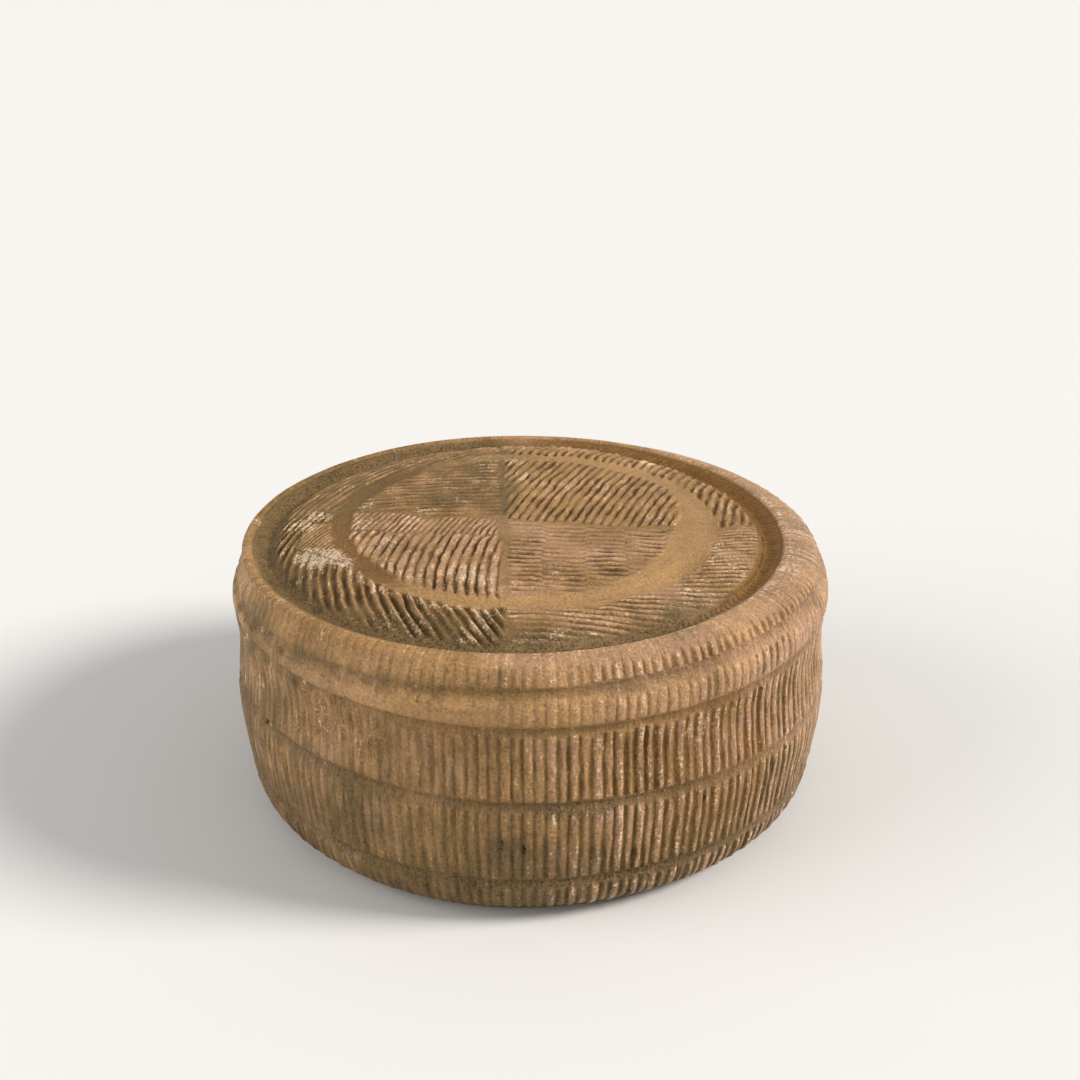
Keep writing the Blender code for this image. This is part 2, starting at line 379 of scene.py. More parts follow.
crests = np.append(crest_angles, crest_angles[0] + FULL_TURN)
place = np.interp(angle, crests, np.arange(RIBS + 1))
nearest = np.round(place)
off_crest = place - nearest  # from -0.5 to 0.5 of the pitch
rib = nearest.astype(int) % RIBS
thick = rib % 2
way = (np.degrees(angle) + 180.0) % 360.0 - 180.0  # 0 is the right of the wheel and -90 its front
print(RIBS, "ribs,", mm(FULL_TURN * SIDE[3][1] / RIBS), "mm apart")

# %% [markdown]
# ### Hoops, bands and ribs
# A hoop pressed harder along its upper edge, so a groove has a steep upper wall and a gentle lower one.
# The gaps between ribs aren't equal either: some straws touched and left almost none, and where the wheel
# was handled the ribs are worn. One number says how crisp the print is at each point.

# %% Grooves and the sway of the hoops
nearest_groove = np.argmin([np.abs(level - groove[0]) for groove in GROOVES], axis=0)
from_groove = level - np.array([groove[0] for groove in GROOVES])[nearest_groove]
channel = np.where(on_side, np.interp(from_groove, *zip(*GROOVE_SECTION)), 0.0)
band = np.searchsorted([groove[0] for groove in GROOVES], level)

knots = [0.0, FOOT_EDGE] + [groove[0] for groove in GROOVES] + [rim_low]
lifts = [lean * np.cos(angle) + sag * np.cos(2.0 * angle) for _, lean, sag in GROOVES]
lifts = [0.0 * angle, 0.0 * angle] + lifts + [0.0 * angle]
sway = np.zeros(count)
for k in range(len(knots) - 1):
    here = (level >= knots[k]) & (level <= knots[k + 1]) & on_side
    share = (level - knots[k]) / (knots[k + 1] - knots[k])
    sway = np.where(here, lifts[k] * (1.0 - share) + lifts[k + 1] * share, sway)
print("the hoops lean by up to", mm(np.abs(sway).max()), "mm")

# %% How crisp the print is
CRISP_WAY = math.radians(-30.0)  # the side of the wheel where the print is sharpest
CRISP_MEAN = 0.72
CRISP_SWING = 0.34
BAND_CRISP = (1.00, 1.00, 1.00, 0.16, 0.90)  # base band, two tall bands, the soft band, the rim's band
SOFT_BAND = 3
RIM_BAND = 4
CRISPER = (
    (SOFT_BAND, 0.50, (-100.0, -82.0, 50.0, 110.0)),
    (RIM_BAND, 0.28, (-88.0, -70.0, -35.0, -10.0)),
)  # band, how much crisper its ribs are, and on which stretch, in degrees round the wheel
HANDLED = (-46.0, -15.0, -5.0, 22.0)  # the stretch at the right that was handled most
HANDLED_LOSS = 0.46
RIM_RIBS_FADE = 0.1135  # height from which the rim's ribs die away

skin = np.column_stack([reach * np.cos(angle), reach * np.sin(angle), level])
crisp = (CRISP_MEAN + CRISP_SWING * np.cos(angle - CRISP_WAY)) * np.array(BAND_CRISP)[band]
for number, more, stretch in CRISPER:
    crisp += more * (band == number) * between(stretch, way)
crisp = crisp * (1.0 + 0.25 * lumps(skin, 0.030, 3.1))
crisp = crisp * (1.0 - HANDLED_LOSS * between(HANDLED, way))
fade = (1.0 - ease(0.25, 0.70, channel)) * ease(0.0, FOOT_EDGE, level)
fade = fade * (1.0 - ease(RIM_RIBS_FADE, CREST_HEIGHT - 0.0010, level)) * on_side
print("print from", round(float(crisp.min()), 2), "to", round(float(crisp.max()), 2), "of the usual depth")

# %% Ribs
GAP_UNEVEN = 0.25  # how much the depth of the gaps varies
CREST_UNEVEN = 0.00022  # how much lower a rib may stand than its neighbours
SHALLOW = (-75.0, -45.0, 0.0, 35.0)  # the stretch from the front to the right where the grooves are worn
SHALLOW_LOSS = 0.30

rib_draw = random.Random(SEED + 1)
gap_depths = np.array([1.0 + GAP_UNEVEN * rib_draw.uniform(-1.0, 1.0) for _ in range(RIBS + 1)])
crest_drops = np.array([rib_draw.random() ** 2 for _ in range(RIBS + 1)])

gap_number = np.where(off_crest > 0.0, rib, rib - 1)
gap_share = ease(0.14, 0.50, np.abs(off_crest))
along_gap = lumps(np.column_stack([gap_number * 1.7, level / 0.009, band * 5.0]), 1.0, 0.37)
along_rib = lumps(np.column_stack([rib * 2.3, level / 0.012, band * 3.0]), 1.0, 0.71)
gap_here = gap_share * gap_depths[gap_number] * np.clip(1.0 + 0.45 * along_gap, 0.40, 1.4)
crest_here = THIN_DROP * (1 - thick) + CREST_UNEVEN * (crest_drops[rib] + 0.6 * along_rib)
inset = (RIB_DEPTH * gap_here + np.maximum(crest_here, 0.0) * (1.0 - gap_share)) * crisp * fade
groove_left = 1.0 - SHALLOW_LOSS * between(SHALLOW, way)
inset = np.maximum(inset, GROOVE_DEPTH * groove_left * channel)
print("deepest gap", mm(inset[fade > 0.9].max()), "mm")

# %% [markdown]
# ### Rib ends, dents and gashes
# At a groove the ribs end at uneven heights. The wheel also has soft dents from hands and shelves, and a
# few short, deep gashes where two straws parted and the curd tore.

# %% Uneven rib ends
END_STRAY = 0.0011
ENDS_BELOW = (-0.0085, -0.0052, -0.0035, -0.0018)  # heights over a groove where the ribs below it end
ENDS_ABOVE = (0.0006, 0.0015, 0.0015, 0.0050)  # and where the ribs above it start

rib_ends = np.array([[rib_draw.uniform(-1.0, 1.0) for _ in range(8)] for _ in range(RIBS + 1)])
side_of_groove = nearest_groove * 2 + (from_groove > 0)
near_end = between(ENDS_BELOW, from_groove) + 0.5 * between(ENDS_ABOVE, from_groove)
sway += END_STRAY * rib_ends[rib, side_of_groove] * near_end * on_side
print("rib ends stray by up to", mm(END_STRAY), "mm")

# %% Dents
DENTS = ((0.045, 0.00025, 7.3), (0.018, 0.00022, 1.9), (0.0065, 0.00012, 5.1))  # lump size, depth, pattern
for size, depth, pattern in DENTS:
    inset += depth * np.clip(0.5 + lumps(skin, size, pattern), 0.0, 1.5) * on_side
print("deepest with the dents", mm(inset[on_side].max()), "mm")

# %% Gashes
GASHES = (
    (-63.3, 0.0780, 0.0045, 0.0013),
    (-59.5, 0.0798, 0.0040, 0.0011),
    (-61.0, 0.0398, 0.0035, 0.0010),
    (-58.0, 0.0497, 0.0030, 0.0008),
    (-41.6, 0.0501, 0.0035, 0.0009),
    (-90.7, 0.0386, 0.0028, 0.0014),
    (-94.4, 0.0423, 0.0030, 0.0009),
    (-146.8, 0.0610, 0.0022, 0.0008),
    (-145.0, 0.0393, 0.0022, 0.0008),
    (-122.2, 0.0962, 0.0020, 0.0007),
    (-120.9, 0.0599, 0.0020, 0.0007),
)  # way round in degrees, height, half length, depth
GASH_HALF_WIDTH = 0.0015
SIDE_REACH = 0.133  # the side's mean radius, to measure along it
MORE_GASHES = 26
ROUND_THE_BACK = (0.0, 200.0)  # degrees between which they are strewn
STREWN_HEIGHTS = (0.030, 0.088)
STREWN_HALVES = (0.002, 0.0045)
STREWN_DEPTH = 0.0009

gash_draw = random.Random(SEED + 2)
gashes = list(GASHES)
for _ in range(MORE_GASHES):
    drawn = [gash_draw.uniform(*span) for span in (ROUND_THE_BACK, STREWN_HEIGHTS, STREWN_HALVES)]
    gashes.append((*drawn, STREWN_DEPTH))
pit = np.zeros(count)
for round_to, height, half, depth in gashes:
    aside = SIDE_REACH * ((angle - math.radians(round_to) + math.pi) % FULL_TURN - math.pi)
    near = hump(0.0, GASH_HALF_WIDTH, aside) * hump(height, half, level + sway)
    near = near * (0.35 + 0.65 * gap_share) * on_side
    inset += depth * near
    pit = np.maximum(pit, near)
print(len(gashes), "gashes")

# %% [markdown]
# ## The combed top
# The top was pressed under a round of plaited straw laid in four quarters, each turned a quarter from the
# last, with one smooth ring where the plait was bound. Inside the ring and outside it each quarter is one
# bent comb: a point's distance across the comb gives the ridge it belongs to and how far it is from that
# ridge's crest.

# %% Sizes of the comb
BACK_RIGHT, BACK_LEFT, FRONT_LEFT, FRONT_RIGHT = range(4)
INSIDE, OUTSIDE = range(2)
MEET = (-0.0125, -0.0030)  # where the quarters meet
SEAM_HALF = 0.0010
RING_CENTRE = (-0.0025, -0.0035)
RING_RADIUS = 0.0818
RING_DEPTH = 0.0008
FIELD_RADIUS = 0.1085  # the ridges run out to here
FINE_PITCH = 0.0029
COMBS = (
    (BACK_RIGHT, INSIDE, (0.060, 0.040), 66.0, 0.400, 0.400, 0.0042, 0.0016, 0.38),
    (BACK_RIGHT, OUTSIDE, (0.090, 0.030), 77.0, 0.300, 0.300, 0.0042, 0.0017, 0.50),
    (BACK_LEFT, INSIDE, (-0.050, 0.050), 6.0, 0.500, 0.500, 0.0043, 0.0009, 0.34),
    (BACK_LEFT, OUTSIDE, (-0.085, 0.040), 60.0, 0.200, 0.200, 0.0043, 0.0010, 0.38),
    (FRONT_LEFT, INSIDE, (-0.050, -0.062), 90.0, 0.200, 0.160, 0.0043, 0.0015, 0.34),
    (FRONT_LEFT, OUTSIDE, (-0.050, -0.045), 90.0, 0.100, 0.100, 0.0043, 0.0018, 0.68),
    (FRONT_RIGHT, INSIDE, (0.030, -0.050), 176.0, 0.900, 0.900, 0.0043, 0.0011, 0.38),
    (FRONT_RIGHT, OUTSIDE, (0.037, -0.080), 180.0, 0.096, 0.900, FINE_PITCH, 0.0008, 0.42),
    (FRONT_LEFT, INSIDE, (-0.050, -0.062), 90.0, 0.200, 0.160, FINE_PITCH, 0.0010, 0.38),
)  # quarter, side of the ring, a point the ridges bend about, the way they run there in degrees, the radius
# of the bend behind that point and ahead of it, pitch, depth, share of the pitch that is gap. The front left
# quarter is listed twice inside the ring, because its ridges split in two towards the middle.

# %% Settle the rim and the top into place
SKIN_GAP = 0.0001  # keeps the skin just inside the solid's outermost points

settle = np.zeros(count)
for turns, amount, phase in SETTLING:
    settle += amount * np.sin(turns * angle + phase)
settle = settle * ~on_foot
shift = np.interp(level, [rim_low, CREST_HEIGHT - 0.001, CREST_HEIGHT], [0.0, 0.6, 1.0])
shift = np.where(on_top, 1.0, np.where(on_side, shift, 0.0))  # grows over the rim and is whole on the top

lifted = level + sway
side_reach = np.array([side_radius(min(max(height, 0.0), SIDE[-1][0])) for height in lifted])
below_rim = on_side & (level < rim_low - HAIR) & (level > HAIR)
outer = np.where(below_rim, side_reach, reach)
outer = np.where(on_top, CREST_RADIUS, outer)
outer = outer + settle - np.where(on_side, inset + SKIN_GAP, 0.0)
toward = shift * (CREST_SHIFT[0] * np.cos(angle) + CREST_SHIFT[1] * np.sin(angle))
away = shift**2 * (CREST_SHIFT[0] ** 2 + CREST_SHIFT[1] ** 2)
shifted = toward + np.sqrt(outer**2 - away + toward**2)  # straight out to the shifted circle
inwards = np.where(on_top, reach / CREST_RADIUS, 1.0)
x = shifted * np.cos(angle) * inwards + CREST_SHIFT[0] * (1.0 - inwards)
y = shifted * np.sin(angle) * inwards + CREST_SHIFT[1] * (1.0 - inwards)
z = lifted.copy()
print("settled by up to", mm(np.abs(settle).max()), "mm")

# %% Distances on the top
top_x = x[on_top]
top_y = y[on_top]
flat = np.column_stack([top_x, top_y, np.zeros(len(top_x))])
top_reach = np.hypot(top_x - CREST_SHIFT[0], top_y - CREST_SHIFT[1])
top_turn = np.degrees(np.arctan2(top_y - CREST_SHIFT[1], top_x - CREST_SHIFT[0]))
ragged = 0.0009 * lumps(flat, 0.004, 2.2) + 0.0012 * lumps(flat, 0.011, 4.4)  # frays every edge on the top
in_trough = ease(FIELD_RADIUS - 0.0015, FIELD_RADIUS + 0.0020, top_reach + ragged)
print(percent(in_trough), "% of the top's points are in the trough or on the rim")

# %% The smooth ring
RING_OUTER = 0.0042  # how far the ring reaches outwards from its middle
RING_EDGE = 0.0022  # half the width over which the ridges rise from it
RING_INNER = (
    (-180.0, 0.0036),
    (-105.0, 0.0034),
    (-85.0, 0.0055),
    (-60.0, 0.0080),
    (-35.0, 0.0130),
    (-12.0, 0.0150),
    (8.0, 0.0120),
    (30.0, 0.0050),
    (180.0, 0.0036),
)  # way round in degrees, how far it reaches inwards: it was bound broadest at the right

ring_turn = np.degrees(np.arctan2(top_y - RING_CENTRE[1], top_x - RING_CENTRE[0]))
past_ring = np.hypot(top_x - RING_CENTRE[0], top_y - RING_CENTRE[1]) - RING_RADIUS
ring_inner = np.interp(ring_turn, *zip(*RING_INNER))
rough_edge = ragged + 0.0016 * lumps(flat, 0.008, 21.0)
inside_ring = ease(ring_inner - RING_EDGE, ring_inner + RING_EDGE, -past_ring + rough_edge)
outside_ring = ease(RING_OUTER - 0.0018, RING_OUTER + 0.0018, past_ring + rough_edge)
off_ring = np.maximum(inside_ring, outside_ring)
print("the ring takes", percent(off_ring < 0.5), "% of the top's points")

# %% The seams between the quarters
SEAMS = (
    ((0.0, 0.0), (0.0580, -0.0110), (0.0990, -0.0060), (0.1180, 0.0130)),
    ((0.0, 0.0), (0.1500, 0.0052)),
    ((0.0, 0.0), (0.1500, -0.0184)),
    ((0.0, 0.0), (0.1500, 0.0052)),
)  # right, back, left and front seam: how far out from where they meet, and how far left of straight by then

along = top_x - MEET[0]
across = top_y - MEET[1]
seam_wave = 0.0016 * lumps(flat, 0.012, 35.0)
left_wave = 0.0060 * lumps(flat, 0.018, 33.0) * ease(0.010, 0.030, -along)
past_seam = []
for points, wave in zip(SEAMS, (seam_wave, seam_wave, left_wave, seam_wave)):
    past_seam.append(across - np.interp(along, *zip(*points)) + wave)
    along, across = across, -along  # a quarter turn on to the next seam
quarter_share = []
for quarter in range(4):
    inner = np.minimum(past_seam[quarter], -past_seam[(quarter + 1) % 4])
    quarter_share.append(ease(0.0, 3.0 * SEAM_HALF, inner + 1.2 * ragged))
print("shares of the quarters", [percent(share) for share in quarter_share], "%")

# %% Blocks at the front right
BLOCK_WIDTH = 0.0177  # the plait's stitches show as blocks of ridges
BLOCK_START = -0.0117
BLOCK_MIDDLES = (-0.0500, -0.0615, -0.0510, -0.0320, -0.0200)
BLOCK_HALVES = (0.0240, 0.0125, 0.0130, 0.0135, 0.0100)
BETWEEN_BLOCKS = 0.48  # how much of the ridges' depth is left between the blocks

across_blocks = (top_x - BLOCK_START + 1.4 * ragged) / BLOCK_WIDTH
block = np.clip(np.floor(across_blocks).astype(int), 0, len(BLOCK_MIDDLES) - 1)
block_share = ease(0.0, 0.22, 0.5 - np.abs(across_blocks % 1.0 - 0.5))
block_off = np.abs(top_y - np.array(BLOCK_MIDDLES)[block] + 0.8 * ragged)
block_half = np.array(BLOCK_HALVES)[block]
block_share = block_share * (1.0 - ease(block_half - 0.0015, block_half + 0.0020, block_off))
block_share = BETWEEN_BLOCKS + (1.0 - BETWEEN_BLOCKS) * block_share
print(len(BLOCK_MIDDLES), "blocks of stitches")

# %% The fine patch and the split teeth at the front left
PATCH_CORNER = (-0.101, -0.0270)
PATCH_SLANT = 0.95  # how steeply the patch's front edge runs from that corner
PATCH_ENDS = (-0.080, -0.078)
FINE_FROM = -0.0195  # the comb's teeth split in two from here backwards
FINE_SLANT = 0.10

patch_edge = PATCH_CORNER[1] - PATCH_SLANT * (top_x - PATCH_CORNER[0])
patch_share = ease(-0.0015, 0.0015, top_y - patch_edge + 1.5 * ragged) * (1.0 - ease(-0.010, 0.002, top_y))
patch_share = patch_share * ease(-0.1035, -0.0985, top_x + ragged) * (1.0 - ease(*PATCH_ENDS, top_x))
fine_part = ease(-0.0030, 0.0030, top_y - FINE_FROM + 2.0 * ragged + FINE_SLANT * (top_x + 0.045))
print("the patch takes", round(float(patch_share.mean()) * 100, 1), "% of the top's points")

# %% Comb the four quarters
RIDGE_DRAWS = 400  # more than any comb has ridges
RIDGE_HEIGHTS = (0.70, 1.15)  # lowest and highest ridge, as a share of the comb's depth
BEAD_LENGTHS = {(FRONT_LEFT, INSIDE): 0.0060}
BEAD_LENGTH = 0.0075  # in the other combs

ridge_draw = np.random.default_rng(SEED)
comb, strength, ridge_place, ridge_along, bead, claimed = np.zeros((6, len(top_x)))
gap_width = np.full(len(top_x), 0.3)  # where no ridge is
for quarter, ring_side, (bend_x, bend_y), run, behind, ahead, pitch, depth, gap in COMBS:
    share = quarter_share[quarter] * (inside_ring, outside_ring)[ring_side] * (1.0 - in_trough)
    run_x = math.cos(math.radians(run))
    run_y = math.sin(math.radians(run))
    along = (top_x - bend_x) * run_x + (top_y - bend_y) * run_y
    aside = (top_x - bend_x) * run_y - (top_y - bend_y) * run_x
    bend = np.where(along < 0.0, behind, ahead)
    bow = bend - np.sqrt(np.maximum(bend**2 - along**2, 0.0))
    across = (aside - bow) / pitch + 0.14 * lumps(flat, 0.016, 6.0 + quarter)
    across = across + 0.13 * lumps(flat, 0.006, 9.0 + quarter)
    worn_down = ease(-0.45, 0.15, lumps(flat, 0.013, 30.0 + quarter))  # where the ridges were rubbed low
    share = share * (0.45 + 0.55 * worn_down)
    if (quarter, ring_side) == (FRONT_RIGHT, INSIDE):
        across = across + 0.5 * (block % 2)
        share = share * block_share
    if (quarter, ring_side) == (FRONT_LEFT, INSIDE):
        share = share * (fine_part if pitch == FINE_PITCH else 1.0 - fine_part)
    if (quarter, ring_side) == (FRONT_LEFT, OUTSIDE):
        share = share * (1.0 - 0.9 * patch_share)
    ridge = np.round(across).astype(int)
    ridge_height = ridge_draw.uniform(*RIDGE_HEIGHTS, RIDGE_DRAWS)[ridge + RIDGE_DRAWS // 2]
    bead_length = BEAD_LENGTHS.get((quarter, ring_side), BEAD_LENGTH)
    beads = lumps(np.column_stack([along / bead_length, ridge * 1.9, flat[:, 2]]), 1.0, quarter + 0.5)
    crest_half = 0.5 - 0.5 * gap
    profile = 1.0 - ease(crest_half * 0.35, crest_half + 0.25 * gap + 0.05, np.abs(across - ridge))
    comb += share * depth * ridge_height * ((profile - 0.5) + 0.65 * beads * profile)
    owner = share > claimed
    claimed = np.maximum(claimed, share)
    ridge_place = np.where(owner, across, ridge_place)
    ridge_along = np.where(owner, along / pitch, ridge_along)
    gap_width = np.where(owner, gap + 0.12 * lumps(flat, 0.009, 40.0), gap_width)
    bead = np.where(owner, beads, bead)
    strength = np.where(owner, share * min(1.0, depth / 0.0011), strength)
print("comb relief from", mm(comb.min()), "to", mm(comb.max()), "mm")

# %% The fine patch and the inner wall
PATCH_PITCH = 0.0022
PATCH_WAY = math.radians(60.0)
WALL_LINES = 216  # slanted marks that the plait's edge printed on the inner wall
WALL_LEAN = 247.0  # how many of them are crossed in a metre outwards
WALL = (FIELD_RADIUS + 0.0010, FIELD_RADIUS + 0.0030, CREST_RADIUS - 0.0054, CREST_RADIUS - 0.0034)
WALL_PRINTED = (-65.0, -40.0, 60.0, 100.0)  # the stretch where those marks are deepest

patch_across = (top_x * math.sin(PATCH_WAY) - top_y * math.cos(PATCH_WAY)) / PATCH_PITCH
patch_across = patch_across + 0.4 * lumps(flat, 0.010, 3.9)
patch_here = patch_share * outside_ring * quarter_share[FRONT_LEFT] * (1.0 - in_trough)
on_wall = between(WALL, top_reach)
wall_print = on_wall * (0.25 + 0.75 * between(WALL_PRINTED, top_turn))
wall_across = WALL_LINES * np.radians(top_turn) / FULL_TURN + WALL_LEAN * top_reach
finer_prints = (
    (patch_here, patch_across, 0.0003, 0.40),
    (wall_print, wall_across, 0.0004, 0.45),
)  # share, place across the print, its depth, share of its pitch that is gap
for share, across, depth, gap in finer_prints:
    owner = share > claimed
    claimed = np.maximum(claimed, share)
    ridge_place = np.where(owner, across, ridge_place)
    gap_width = np.where(owner, gap, gap_width)
    strength = np.where(owner, 0.65 * share, strength)
    comb += share * depth * np.cos(FULL_TURN * across) * 0.5
print("printed:", percent(claimed > 0.5), "% of the top's points")

# %% Worn spots and the heights of the top
WORN_SPOTS = (
    (-0.0877, -0.0400, 0.0100, 2.0),
    (-0.0790, -0.0450, 0.0060, 1.7),
    (-0.0960, -0.0340, 0.0070, 1.6),
    (-0.0415, -0.0830, 0.0035, 0.8),
    (-0.0295, -0.0860, 0.0035, 0.9),
    (-0.0194, -0.0880, 0.0035, 0.9),
    (-0.0130, -0.0900, 0.0030, 0.8),
    (0.1084, 0.0344, 0.0022, 1.0),
    (0.0524, -0.0432, 0.0025, 0.7),
    (0.0655, -0.0436, 0.0020, 0.8),
    (0.0786, -0.0287, 0.0022, 0.8),
    (0.0440, -0.0510, 0.0018, 0.8),
)  # x, y, radius and strength of each worn spot on the top
DEEP_SPOTS = 3  # the first ones are worn deep enough to lower the ridges

comb = comb * (1.0 - 0.6 * np.clip(spots(top_x, top_y, WORN_SPOTS[:DEEP_SPOTS]), 0.0, 1.0))
ring_dip = RING_DEPTH * hump(0.0, 0.0038, past_ring) * (1.0 - 0.4 * off_ring)
top_dents = 0.0003 * lumps(flat, 0.035, 8.8) + 0.00025 * lumps(flat, 0.012, 3.3)
top_dents += 0.00018 * lumps(flat, 0.0045, 5.7) * (1.0 - ease(CREST_RADIUS - 0.006, CREST_RADIUS, top_reach))
top_dents = (top_dents - 0.0004) * (1.0 - ease(CREST_RADIUS - 0.004, CREST_RADIUS, top_reach))
z[on_top] = top_height(np.minimum(top_reach, CREST_RADIUS)) + comb - ring_dip + top_dents
z = np.clip(z, 0.0, solid_high[2] - SKIN_GAP)
z[on_foot] = 0.0
print("highest point", mm(z.max()), "mm")

# %% Put the points back
shaped = np.column_stack([x, y, z]).astype(np.float32)
wheel.data.vertices.foreach_set("co", shaped.ravel())
wheel.data.update()
print("wheel now", [mm(v) for v in shaped.max(axis=0) - shaped.min(axis=0)], "mm")

# %% [markdown]
# ## What the rind remembers
# The finish follows the relief. Grime and oil stay in the gaps, brushing polishes the crests, the smooth
# strips keep a clean ochre, and mould leaves pale bloom. Part of it is painted light: shade painted into the
# gaps, the grooves, the thin ribs and towards the foot, pale flecks painted on the crests as glints, and a
# paler stretch painted at the right where the key light falls. The skin stores these as numbers on every
# point, which the material reads as attributes, and the place across the ribs and ridges as a UV map. The
# fine colour of each rib is drawn from that map, so it is sharper than the mesh and always sits on its rib.
#
# Most of these numbers are sums: a plain amount, then a share for each place or pattern that has more or
# less of it. The places are soft masks from 0 to 1, and a stretch of the side or the rim is given in degrees
# round the wheel, with 0 at the right and -90 at the front.

# %% Places on the side
GASHED_WAY = -58.0  # the middle of the gashed stretch, where the dirt stayed
LIP_RISES = (-108.0, -90.0, -25.0, 0.0)  # the stretch at the front where the rim's ribs reach higher
LIP_RISE = 0.0032
RIM_MARKED = (-105.0, -90.0, 20.0, 60.0)  # the stretch of the rim with dark rubbing marks

left = ease(-0.10, 0.95, -np.cos(angle))
far_left = ease(95.0, 130.0, np.abs(way))
low = 1.0 - ease(0.0, 0.090, level)
lip_below = ease(0.1105, 0.1150, level - LIP_RISE * between(LIP_RISES, way))
rim_marks = between(RIM_MARKED, way)
print(percent(lip_below[on_side]), "% of the side's points are on its bare lip")

# %% How strongly the side's ribs are drawn
BAND_LINES = (1.0, 1.0, 1.0, 1.10, 0.52)  # from the base band up
RIM_LINED = (-88.0, -70.0, -30.0, -10.0)  # the stretch where the rim's ribs show most
RIGHT_FADED = (-44.0, -18.0, -5.0, 22.0)  # and the one where handling dulled the tall bands
LIP_GAP = -0.6  # below any gap, so that the lip is drawn as crest all over

front_left_loss = 0.68 * ease(68.0, 108.0, np.abs(way)) * (way < 0.0)
lines = np.clip(crisp * fade, 0.0, 1.0) * (1.0 - front_left_loss)
lines = lines * np.array(BAND_LINES)[band]
lines = lines * (1.0 + 0.60 * (band == RIM_BAND) * between(RIM_LINED, way))
lines = lines * (1.0 - 0.62 * (band < SOFT_BAND) * between(RIGHT_FADED, way))
lines = np.maximum(np.clip(lines, 0.0, 1.0) * (1.0 - lip_below), lip_below)
gaps = (
    0.31
    + 0.10 * (band == 0) * (1.0 - ease(-75.0, -55.0, way))
    + 0.08 * (band == RIM_BAND)
    - 0.08 * (band == SOFT_BAND)
    + 0.12 * (1 - thick)
    + 0.14 * along_gap
    + 0.08 * hump(GASHED_WAY, 14.0, way)
)
gaps = gaps * (1.0 - lip_below) + LIP_GAP * lip_below
beaded = along_rib * on_side
print("drawn at", percent(lines[on_side]), "% of their strength")

# %% Smooth strips of the side
SMOOTH_SHARES = (0.80, 0.45, 0.35)  # the soft band, the rim's band, the strip below the crest
SCUFFED = (-64.0, -40.0, 20.0, 60.0)  # the stretch where the strips are scuffed

strip = ease(CREST_HEIGHT - 0.0010, CREST_HEIGHT - 0.0003, level)
smooth = SMOOTH_SHARES[0] * (band == SOFT_BAND) * (1.0 - ease(0.5, 0.9, channel)) * (1.0 - 0.6 * lines)
smooth = smooth * (1.0 - 0.45 * between(SCUFFED, way))
smooth = np.maximum(smooth, SMOOTH_SHARES[1] * (band == RIM_BAND) * (1.0 - channel))
smooth = np.maximum(smooth, SMOOTH_SHARES[2] * strip) * on_side
print("smooth:", percent(smooth[on_side] > 0.3), "% of the side's points")

# %% Grime, painted shade and stain on the side
SMEAR_SIZE = 0.005
SMEAR_STRETCH = 0.35  # brushing drew the dirt upright, about three times as long as wide
GROOVE_GRIME_AND_SHADE = (0.40, 0.30, 0.08, 0.05)  # grime and painted shade in each groove, from the lowest up
GROOVE_STAIN = (0.20, 0.30, 0.40, 0.40)
SIDE_DIRT = (
    (-82.0, 0.0565, 9.0, 0.0030, 0.75),
    (-92.0, 0.0620, 22.0, 0.0300, 0.07),
    (-94.0, 0.0400, 3.5, 0.0060, 0.60),
    (-60.5, 0.0770, 3.0, 0.0080, 0.45),
    (-70.0, 0.0230, 12.0, 0.0030, 0.40),
    (-158.0, 0.0600, 9.0, 0.0250, 0.28),
    (-121.6, 0.0500, 4.5, 0.0130, 0.42),
    (-131.0, 0.0300, 9.0, 0.0080, 0.10),
)  # way round in degrees, height, half width in degrees, half height, strength

smears = lumps(skin * np.array([1.0, 1.0, SMEAR_STRETCH]), SMEAR_SIZE, 51.0)
smears = (smears + 0.6 * lumps(skin * np.array([1.0, 1.0, 0.6]), 2.4 * SMEAR_SIZE, 57.0)) * on_side
grime_and_shade = (
    0.06
    + 0.10 * left * (1.0 - 0.6 * smooth)
    + (0.78 - 0.30 * left) * low**2  # painted shade towards the foot, where the side turns down
    + 0.04 * (band == 1)
    + 0.28 * lumps(skin, 0.024, 9.1)  # clouds
    + (0.15 + 0.50 * left) * smears * (1.0 - 0.5 * smooth)
    # grime in the grooves, and painted shade along their floors
    + np.array(GROOVE_GRIME_AND_SHADE)[nearest_groove] * channel**3 * (2.5 * groove_left - 1.5)
    + 0.10 * (1 - thick) * lines  # painted shade on the thin ribs, which stand lower
    + 0.52 * lip_below * rim_marks
)
for round_to, height, half_way, half_up, dirt in SIDE_DIRT:
    grime_and_shade += dirt * hump(round_to, half_way, way) * hump(height, half_up, level)
stain = (
    np.array(GROOVE_STAIN)[nearest_groove] * ease(0.3, 0.9, channel) * on_side
    + 0.25 * lines * gap_share * on_side
    + 0.28 * lip_below * far_left
    + 0.38 * hump(GASHED_WAY, 17.0, way) * ((band == 1) | (band == 2))  # oil in the gashed stretch
)
print("grime at", percent(grime_and_shade[on_side]), "% and stain at", percent(stain[on_side]), "%")

# %% Worn and rosy places on the side, with painted glints and painted light
LIT_RIGHT_PALE = (-45.0, -15.0, 0.0, 30.0)
RIM_GLINTED = (-98.0, -92.0, -70.0, -40.0)
ROSY_AND_LIT_RIGHT = (-50.0, -20.0, 60.0, 140.0)
ROSY_FRONT = (-112.0, -60.0, 60.0, 140.0)
RIB_HEADS = (-0.0100, -0.0065, -0.0050, -0.0035)  # below a groove, where the ribs' heads are rubbed
SIDE_SPECKS = ((-147.9, 0.0748), (-127.7, 0.0765), (-70.9, 0.1031), (-89.0, 0.0993))  # way round, height
SPECK_HALF = 0.0016
DEGREE = 0.0023  # metres along the side in a degree of turn

